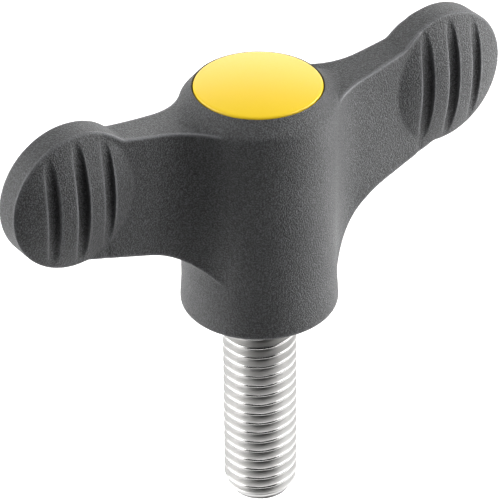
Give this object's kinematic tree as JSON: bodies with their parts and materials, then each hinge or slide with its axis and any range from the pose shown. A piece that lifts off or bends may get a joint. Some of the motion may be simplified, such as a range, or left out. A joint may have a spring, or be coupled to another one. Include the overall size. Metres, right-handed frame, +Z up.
{
  "type": "wing knob with threaded stud",
  "caption": "Moulded wing knob: a round hub with thumb discs on offset webs, a domed cover cap on top and a threaded stud below.",
  "frame": {"origin": "centre of the hub's flat seat face, where the stud leaves the grip", "axes": "+Z up along the stud and hub axis towards the cover cap, +X along the wings, +Y across them"},
  "size_m": [0.06, 0.017, 0.0533],
  "materials": {
    "grip_polyamide": "fine eroded grain",
    "stud_steel": "bright rolled thread",
    "cap_plastic": "satin"
  },
  "bodies": {
    "root": {"wing_grip": "grip_polyamide", "threaded_stud": "stud_steel", "cover_cap": "cap_plastic"}
  },
  "joints": []
}
